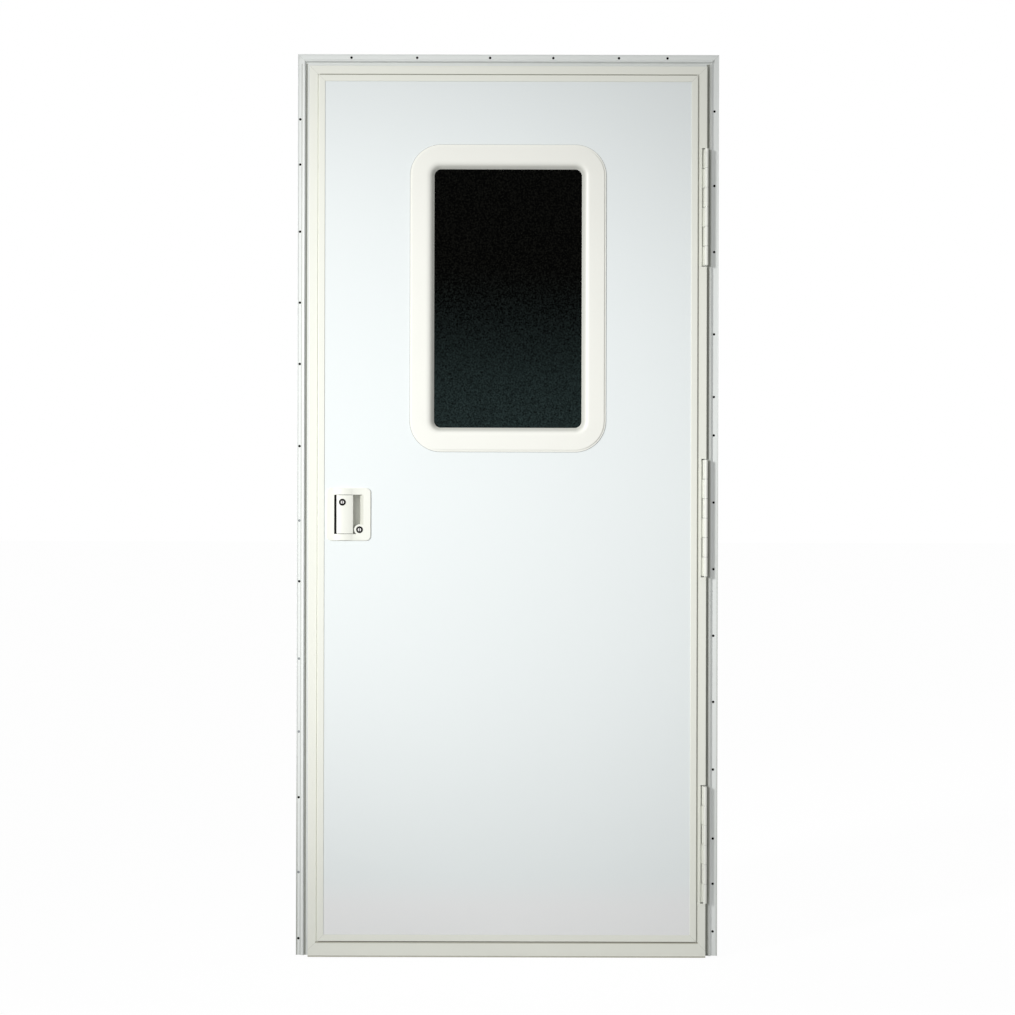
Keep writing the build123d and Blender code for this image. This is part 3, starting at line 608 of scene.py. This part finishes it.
def sealed_skin(name):
    """The leaf's white sheet, with a thin grey sealing line round the window ring and a warmer foot."""
    material = mottled(
        name,
        SKIN_WHITE,
        roughness=0.33,
        grain_size=0.004,
        grain_depth=0.00005,
        tone=0.025,
        cloud=0.5,
        coat=0.2,
    )
    tree = material.node_tree
    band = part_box("window_outer_ring")[1].x - (glass_high.x - SIGHT_INSET)
    tint_where(tree, maths(tree, "LESS_THAN", from_sight(tree), band + SEALING_LINE), SEALING_TINT)
    tint_where(tree, fade(tree, object_xyz(tree)["Z"], *SKIN_FOOT_FADE), SKIN_FOOT_TINT)
    return material


def key_plug(name, node):
    """A bright metal face with its keyway, and painted shade in the keyway and in the gap round the face."""
    material = drawn_metal(name, KEY_METAL, roughness=0.22, line_size=0.0005)
    tree = material.node_tree
    shader = tree.nodes["Principled BSDF"]
    shader.inputs["Specular IOR Level"].default_value = KEY_SPECULAR
    low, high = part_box(node)
    xyz = object_xyz(tree)
    off_x = maths(tree, "SUBTRACT", xyz["X"], (low.x + high.x) / 2)
    off_z = maths(tree, "SUBTRACT", xyz["Z"], (low.z + high.z) / 2)
    squares = [maths(tree, "POWER", off, 2.0) for off in (off_x, off_z)]
    span = maths(tree, "SQRT", maths(tree, "ADD", *squares))
    # Painted shade in the gap round the bright face and deep in the keyway
    outside = maths(tree, "GREATER_THAN", span, KEY_FACE_RADIUS)
    deep = maths(tree, "GREATER_THAN", xyz["Y"], low.y + KEYWAY_SHADE)
    dark = maths(tree, "MAXIMUM", outside, deep)
    tint_where(tree, dark, COLLAR_SHADE_TINT)
    tree.links.new(maths(tree, "SUBTRACT", 1.0, dark), shader.inputs["Metallic"])
    return material


def matt(name, colour, roughness, specular, tone=0.03):
    """Rubber, and the discs of painted shade and painted light in the flange holes."""
    return mottled(
        name,
        colour,
        roughness,
        grain_size=0.0008,
        grain_depth=0.0001,
        tone=tone,
        cloud=0.03,
        specular=specular,
    )


# One finish for each of the record's slots, and a special one for some pieces
finishes = {
    "frame_paint": shaded_frame_paint("frame_paint"),
    "leaf_paint": shaded_leaf_paint("leaf_paint"),
    "skin_white": sealed_skin("skin_white"),
    "ring_white": glazed_ring("ring_white"),
    "lock_white": lock_plastic("lock_white"),
    "hinge_paint": mottled(
        "hinge_paint", HINGE_WHITE, roughness=0.36, grain_size=0.001, grain_depth=0.00006, cloud=0.05
    ),
    "seal_rubber": matt("seal_rubber", RUBBER_BLACK, roughness=0.7, specular=0.1, tone=0.3),
    "pin_steel": drawn_metal("pin_steel", STEEL_GREY, roughness=0.3, line_size=0.0006),
    "key_metal": drawn_metal("key_metal", KEY_GREY, roughness=0.35, line_size=0.0005),
    "tinted_glass": dark_glass("tinted_glass"),
    "foam": cast_foam("foam"),
}
special = {
    "lock_paddle": shade_edged_paddle("paddle_white"),
    "lock_bezel": dished_bezel("bezel_white"),
    "paddle_key_plug": key_plug("paddle_key_face", "paddle_key_plug"),
    "deadbolt_key_plug": key_plug("deadbolt_key_face", "deadbolt_key_plug"),
    "screw_hole_shade": matt("hole_dark", HOLE_DARK, roughness=0.9, specular=0.0, tone=0.3),
    "lit_hole_shade": matt("hole_pale", HOLE_PALE, roughness=0.9, specular=0.0),
}
for name, node in nodes.items():
    for slot in node.material_slots:
        slot.material = special.get(name, finishes[slot_of[name]])

# Rounded pieces are shown as smooth copies of their solids
SMOOTH_ANGLE = math.radians(32)
MERGE_DISTANCE = 1e-6
ROUNDED = ["window_outer_ring", "window_inner_ring", "lock_bezel", "lock_paddle", "paddle_pivot_pin"]
ROUNDED += ["frame_seal", "paddle_key_plug", "deadbolt_key_plug", "inner_release_lever", "inner_thumb_turn"]
ROUNDED += ["lock_inner_plate"]
ROUNDED += [name for name in nodes if name.startswith("hinge_")]
ROUNDED += ["jamb_lock_side", "jamb_hinge_side", "jamb_head"]


def place_piece(name, mesh, body):
    """An object of the scene that moves with the body."""
    piece = bpy.data.objects.new(name, mesh)
    scene.collection.objects.link(piece)
    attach(piece, body)
    return piece


def smooth_copy(node):
    """The same solid with its triangles joined, round stretches shaded round and real edges kept sharp."""
    mesh = nodes[node].data.copy()
    mesh.attributes.remove(mesh.attributes["custom_normal"])
    work = bmesh.new()
    work.from_mesh(mesh)
    bmesh.ops.remove_doubles(work, verts=work.verts, dist=MERGE_DISTANCE)
    for face in work.faces:
        face.smooth = True
    work.to_mesh(mesh)
    work.free()
    mesh.set_sharp_from_angle(angle=SMOOTH_ANGLE)
    piece = place_piece(f"{node}_smooth", mesh, body_of[node])
    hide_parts(node)


for name in ROUNDED:
    smooth_copy(name)


# Repeated pieces, by Geometry Nodes
def maker_tree(name, sizes):
    """A tree that takes points, the named sizes and a finish: the tree and what its input node gives."""
    tree = bpy.data.node_groups.new(name, "GeometryNodeTree")
    tree.interface.new_socket("Points", in_out="INPUT", socket_type="NodeSocketGeometry")
    for label, value in sizes.items():
        tree.interface.new_socket(label, in_out="INPUT", socket_type="NodeSocketFloat").default_value = value
    tree.interface.new_socket("Finish", in_out="INPUT", socket_type="NodeSocketMaterial")
    tree.interface.new_socket("Pieces", in_out="OUTPUT", socket_type="NodeSocketGeometry")
    return tree, tree.nodes.new("NodeGroupInput").outputs


def repeat_on_points(tree, given, piece, rotation):
    """Ends the tree with one piece on each point, made real and given the finish."""
    points = add_node(tree, "GeometryNodeMeshToPoints", {"Mesh": given["Points"]}).outputs[0]
    repeat = {"Points": points, "Instance": piece, "Rotation": rotation}
    placed = add_node(tree, "GeometryNodeInstanceOnPoints", repeat).outputs[0]
    whole = add_node(tree, "GeometryNodeRealizeInstances", {"Geometry": placed}).outputs[0]
    finish = {"Geometry": whole, "Material": given["Finish"]}
    coloured = add_node(tree, "GeometryNodeSetMaterial", finish).outputs[0]
    tree.links.new(coloured, tree.nodes.new("NodeGroupOutput").inputs[0])


def run_tree(name, body, slot, tree, points, facings=()):
    """What the tree makes on the given points, as one plain mesh of the body."""
    seeds = bpy.data.meshes.new(f"{name}_points")
    seeds.from_pydata(points, [], [])
    if facings:
        facing = seeds.attributes.new("facing", "FLOAT_VECTOR", "POINT")
        for i, direction in enumerate(facings):
            facing.data[i].vector = direction
    maker = bpy.data.objects.new(f"{name}_maker", seeds)
    scene.collection.objects.link(maker)
    modifier = maker.modifiers.new("maker", "NODES")
    modifier.node_group = tree
    finish_socket = next(s for s in tree.interface.items_tree if s.name == "Finish")
    modifier[finish_socket.identifier] = special.get(name, finishes[slot])
    graph = bpy.context.evaluated_depsgraph_get()
    mesh = bpy.data.meshes.new_from_object(maker.evaluated_get(graph))
    bpy.data.objects.remove(maker)
    return place_piece(name, mesh, body)


# Screws: flat heads with a cross recess, on the plates that are seen with the leaf open and from inside
SCREW_HEAD_RADIUS = 0.0037
SCREW_HEAD_HEIGHT = 0.0007
SCREW_SIDES = 24
SCREW_RIM_SHARE = 0.8
SCREW_RECESS = 0.0009
RECESS_LENGTH_SHARE = 1.1
RECESS_DEPTH_SHARE = 1.2

# Where they are: the hinge plates' faces from the left edge of their boxes, and the screws' insets and rows
LEAF_PLATE_FACE = 0.002
FRAME_PLATE_FACE = 0.0013
HINGE_SCREW_INSET = 0.011
HINGE_SCREW_ROWS = (0.1, 0.37, 0.63, 0.9)
PLATE_SCREW_INSET = 0.011
RING_SCREWS_UP = (0.17, 0.39, 0.61, 0.83)
RING_SCREWS_ACROSS = (0.3, 0.7)


def make_screw_tree():
    """One cross-head screw on each point, turned to the point's own facing direction."""
    tree, given = maker_tree(
        "cross_head_screws",
        {"Head Radius": SCREW_HEAD_RADIUS, "Head Height": SCREW_HEAD_HEIGHT, "Recess Width": SCREW_RECESS},
    )
    radius, height, recess = given["Head Radius"], given["Head Height"], given["Recess Width"]
    rim = maths(tree, "MULTIPLY", radius, SCREW_RIM_SHARE)
    cone = {"Vertices": SCREW_SIDES, "Radius Top": rim, "Radius Bottom": radius, "Depth": height}
    head = add_node(tree, "GeometryNodeMeshCone", cone).outputs["Mesh"]
    reach = maths(tree, "MULTIPLY", radius, RECESS_LENGTH_SHARE)
    deep = maths(tree, "MULTIPLY", height, RECESS_DEPTH_SHARE)
    cut = add_node(tree, "GeometryNodeMeshBoolean", operation="DIFFERENCE")
    tree.links.new(head, cut.inputs["Mesh 1"])
    for long_way, across in ((reach, recess), (recess, reach)):
        size = add_node(tree, "ShaderNodeCombineXYZ", {"X": long_way, "Y": across, "Z": deep}).outputs[0]
        bar = add_node(tree, "GeometryNodeMeshCube", {"Size": size}).outputs["Mesh"]
        lift = add_node(tree, "ShaderNodeCombineXYZ", {"Z": height}).outputs[0]
        lifted = add_node(tree, "GeometryNodeTransform", {"Geometry": bar, "Translation": lift})
        tree.links.new(lifted.outputs["Geometry"], cut.inputs["Mesh 2"])
    facing = add_node(tree, "GeometryNodeInputNamedAttribute", {"Name": "facing"}, data_type="FLOAT_VECTOR")
    towards = {"Vector": facing.outputs["Attribute"]}
    turn = add_node(tree, "FunctionNodeAlignRotationToVector", towards, axis="Z").outputs[0]
    repeat_on_points(tree, given, cut.outputs["Mesh"], turn)
    return tree


def drive_screws(name, body, places):
    """Steel screws at the given (point, facing direction) places, as one piece."""
    points = [point for point, _ in places]
    facings = [facing for _, facing in places]
    run_tree(name, body, "pin_steel", screw_tree, points, facings)


def hinge_screws(half, face_in, facing):
    """Places on the plates of one kind of hinge half, whose face lies face_in from its left edge."""
    places = []
    for hinge in ("lower", "middle", "upper"):
        low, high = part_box(f"hinge_{hinge}_{half}")
        face = low.x + face_in
        for share in HINGE_SCREW_ROWS:
            z = low.z + share * (high.z - low.z)
            places.append(((face, high.y - HINGE_SCREW_INSET, z), (facing, 0, 0)))
    return places


def strike_screws():
    """Places at both ends of the strike plate."""
    low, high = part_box("strike_plate")
    middle = (low.y + high.y) / 2
    ends = (low.z + PLATE_SCREW_INSET, high.z - PLATE_SCREW_INSET)
    return [((high.x, middle, z), (1, 0, 0)) for z in ends]


def inner_plate_screws():
    """Places at the corners of the lock's plate inside."""
    low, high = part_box("lock_inner_plate")
    inset = PLATE_SCREW_INSET
    corners = [(x, z) for x in (low.x + inset, high.x - inset) for z in (low.z + inset, high.z - inset)]
    return [((x, high.y, z), (0, 1, 0)) for x, z in corners]


def inner_ring_screws():
    """Places round the middle of the inside window ring, clear of its corners."""
    low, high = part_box("window_inner_ring")
    band = (high.x - low.x - (glass_high.x - glass_low.x)) / 4
    places = []
    for share in RING_SCREWS_UP:
        z = low.z + share * (high.z - low.z)
        places += [((x, high.y, z), (0, 1, 0)) for x in (low.x + band, high.x - band)]
    for share in RING_SCREWS_ACROSS:
        x = low.x + share * (high.x - low.x)
        places += [((x, high.y, z), (0, 1, 0)) for z in (low.z + band, high.z - band)]
    return places


screw_tree = make_screw_tree()
frame_places = hinge_screws("frame_half", FRAME_PLATE_FACE, -1) + strike_screws()
leaf_places = hinge_screws("leaf_half", LEAF_PLATE_FACE, 1) + inner_plate_screws() + inner_ring_screws()
drive_screws("frame_screws", "frame", frame_places)
drive_screws("leaf_screws", "door_leaf", leaf_places)

# Flange holes: a thin dark disc in each stands for the unlit space that shows through it, and a pale one in
# the few lock-side holes, at the given heights, that let light through
LIT_HOLES = (0.170, 0.459, 0.609, 0.893)
LIT_REACH = 0.005
HOLE_DISC = 0.0004
HOLE_DISC_RADIUS = 0.00255
HOLE_DISC_SIDES = 20
HOLE_DISC_BACK = 0.0012

# How the holes' walls are found in a frame member: their distance from its outer edge, how little they face
# forwards, and the shortest step from one hole to the next
HOLE_NEAREST = 0.0022
HOLE_FURTHEST = 0.0119
WALL_FORWARD = 0.05
HOLE_STEP = 0.01
X_AXIS = 0
Z_AXIS = 2


def hole_centres(node, along):
    """Centres of the screw holes in a frame member, read from their walls; along is the axis it runs in."""
    mesh = nodes[node].data
    across = X_AXIS + Z_AXIS - along
    edge = max(abs(v.co[across]) for v in mesh.vertices)
    walls = []
    for face in mesh.polygons:
        points = [mesh.vertices[i].co for i in face.vertices]
        inside = all(HOLE_NEAREST < edge - abs(p[across]) < HOLE_FURTHEST for p in points)
        if inside and abs(face.normal.y) < WALL_FORWARD:
            walls.append(sum(points, Vector()) / len(points))
    walls.sort(key=lambda p: p[along])
    groups = [[walls[0]]]
    for point in walls[1:]:
        if point[along] - groups[-1][-1][along] > HOLE_STEP:
            groups.append([])
        groups[-1].append(point)
    return [sum(group, Vector()) / len(group) for group in groups]


def make_disc_tree():
    """A thin closed disc facing out of the caravan on each point."""
    tree, given = maker_tree("hole_discs", {"Radius": HOLE_DISC_RADIUS, "Thickness": HOLE_DISC})
    disc = {"Vertices": HOLE_DISC_SIDES, "Radius": given["Radius"], "Depth": given["Thickness"]}
    cylinder = add_node(tree, "GeometryNodeMeshCylinder", disc).outputs["Mesh"]
    repeat_on_points(tree, given, cylinder, (math.radians(90), 0.0, 0.0))
    return tree


def shade_holes():
    """The dark and the pale discs in the holes of both jambs and the head."""
    centres = [c for node in ("jamb_lock_side", "jamb_hinge_side") for c in hole_centres(node, Z_AXIS)]
    centres += hole_centres("jamb_head", X_AXIS)
    points = [(c.x, -HOLE_DISC_BACK - HOLE_DISC / 2, c.z) for c in centres]
    lit = [p for p in points if p[0] < 0 and any(abs(p[2] - z) < LIT_REACH for z in LIT_HOLES)]
    discs = make_disc_tree()
    run_tree("screw_hole_shade", "frame", "seal_rubber", discs, [p for p in points if p not in lit])
    run_tree("lit_hole_shade", "frame", "seal_rubber", discs, lit)


shade_holes()

# Lock pocket: a thin black tray behind the paddle, a sheet of painted shade that shows in the slit beside it
TRAY_WALL = 0.0002
TRAY_SIDE = 0.0041
TRAY_END = 0.001
TRAY_SHORT = 0.004
TRAY_FRONT = 0.0042
TRAY_FLOOR = 0.018
FACES_THAT_WAY = 0.5


def line_pocket():
    """The tray of painted shade, open at its front and at the side of the finger recess."""
    paddle_low, paddle_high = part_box("lock_paddle")
    bezel_low, bezel_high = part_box("lock_bezel")
    low = Vector((paddle_low.x - TRAY_SIDE, bezel_low.y + TRAY_FRONT, paddle_low.z - TRAY_END))
    high = Vector((paddle_high.x - TRAY_SHORT, bezel_high.y - TRAY_FLOOR, paddle_high.z + TRAY_END))
    work = bmesh.new()
    bmesh.ops.create_cube(work, size=1.0)
    for vert in work.verts:
        vert.co = (low + high) / 2 + Vector(a * b for a, b in zip(vert.co, high - low))
    open_faces = [f for f in work.faces if -f.normal.y > FACES_THAT_WAY or f.normal.x > FACES_THAT_WAY]
    bmesh.ops.delete(work, geom=open_faces, context="FACES")
    bmesh.ops.solidify(work, geom=work.faces[:], thickness=TRAY_WALL)
    bmesh.ops.recalc_face_normals(work, faces=work.faces)
    mesh = bpy.data.meshes.new("pocket_shade_tray")
    work.to_mesh(mesh)
    work.free()
    mesh.materials.append(finishes["seal_rubber"])
    place_piece("pocket_shade_tray", mesh, "door_leaf")


line_pocket()

# Floor: a grey that takes the shadow, mixed with a white glow where it is seen
WHITE = (1.0, 1.0, 1.0, 1.0)
FLOOR_GREY = (0.8, 0.8, 0.8, 1.0)
FLOOR_ROUGHNESS = 0.9
FLOOR_REACH = 60.0
FLOOR_DROP = 0.001
FLOOR_GLOW = 1.05
FLOOR_GLOW_SHARE = 0.9

# Light: an even white all round, and one large lamp at the upper left
AMBIENT_LEVEL = 0.543
LAMP_PLACE = (-4.7, -5.7, 2.4)
LAMP_TARGET = (-0.287, 0.0, 1.02)
LAMP_CONE = math.radians(20.3)
LAMP_RADIUS = 0.52
LAMP_POWER = 1895.0


def seen_directly(tree):
    """1 for what the camera sees, also by a mirror reflection or through glass."""
    path = add_node(tree, "ShaderNodeLightPath").outputs
    glossy = maths(tree, "MAXIMUM", path["Is Glossy Ray"], path["Is Transmission Ray"])
    return maths(tree, "MAXIMUM", path["Is Camera Ray"], glossy)


def floor_finish():
    """The floor's matt grey and its glow."""
    material, tree, shader = new_material("studio_floor")
    shader.inputs["Base Color"].default_value = FLOOR_GREY
    shader.inputs["Roughness"].default_value = FLOOR_ROUGHNESS
    shader.inputs["Specular IOR Level"].default_value = 0.0
    glow = add_node(tree, "ShaderNodeEmission", {"Color": WHITE, "Strength": FLOOR_GLOW}).outputs[0]
    share = maths(tree, "MULTIPLY", seen_directly(tree), FLOOR_GLOW_SHARE)
    mix = add_node(tree, "ShaderNodeMixShader", {0: share, 1: shader.outputs[0], 2: glow})
    tree.links.new(mix.outputs[0], tree.nodes["Material Output"].inputs["Surface"])
    return material


def make_floor():
    """A wide floor just below the door."""
    work = bmesh.new()
    bmesh.ops.create_grid(work, x_segments=1, y_segments=1, size=FLOOR_REACH)
    bmesh.ops.translate(work, verts=work.verts, vec=(0, 0, cad_low.z - FLOOR_DROP))
    mesh = bpy.data.meshes.new("studio_floor")
    work.to_mesh(mesh)
    work.free()
    mesh.materials.append(floor_finish())
    floor = bpy.data.objects.new("studio_floor", mesh)
    scene.collection.objects.link(floor)


def make_world(level):
    """Even light of the given level, which is seen as plain white."""
    world = bpy.data.worlds.new("studio")
    world.use_nodes = True
    tree = world.node_tree
    tree.nodes.clear()
    ambient = add_node(tree, "ShaderNodeBackground", {"Color": WHITE, "Strength": level}).outputs[0]
    white = add_node(tree, "ShaderNodeBackground", {"Color": WHITE, "Strength": 1.0}).outputs[0]
    mix = add_node(tree, "ShaderNodeMixShader", {0: seen_directly(tree), 1: ambient, 2: white})
    out = tree.nodes.new("ShaderNodeOutputWorld")
    tree.links.new(mix.outputs[0], out.inputs[0])
    scene.world = world


def soft_spot(name, place, target, cone, radius, power):
    """A large diffused lamp whose light falls off smoothly from where it is aimed."""
    lamp = bpy.data.lights.new(name, "SPOT")
    lamp.energy = power
    lamp.spot_size = cone
    lamp.spot_blend = 1.0
    lamp.shadow_soft_size = radius
    holder = bpy.data.objects.new(name, lamp)
    scene.collection.objects.link(holder)
    holder.location = place
    holder.rotation_euler = (Vector(target) - Vector(place)).to_track_quat("-Z", "Y").to_euler()


make_floor()
make_world(AMBIENT_LEVEL)
soft_spot("key_lamp", LAMP_PLACE, LAMP_TARGET, LAMP_CONE, LAMP_RADIUS, LAMP_POWER)

# Camera: straight at the door from 5 m, with the photograph's slight turn
CAMERA_DISTANCE = 5.0
VIEW_WIDTH = 2.0881
VIEW_HEIGHT = 0.9208
CAMERA_ROLL = math.radians(-0.14)
SENSOR_WIDTH = 36.0
lens = bpy.data.cameras.new("camera")
lens.sensor_width = SENSOR_WIDTH
lens.lens = SENSOR_WIDTH * CAMERA_DISTANCE / VIEW_WIDTH
camera = bpy.data.objects.new("camera", lens)
scene.collection.objects.link(camera)
camera.location = (0.0, -CAMERA_DISTANCE, VIEW_HEIGHT)
camera.rotation_euler = Euler((math.radians(90), CAMERA_ROLL, 0.0))
scene.camera = camera
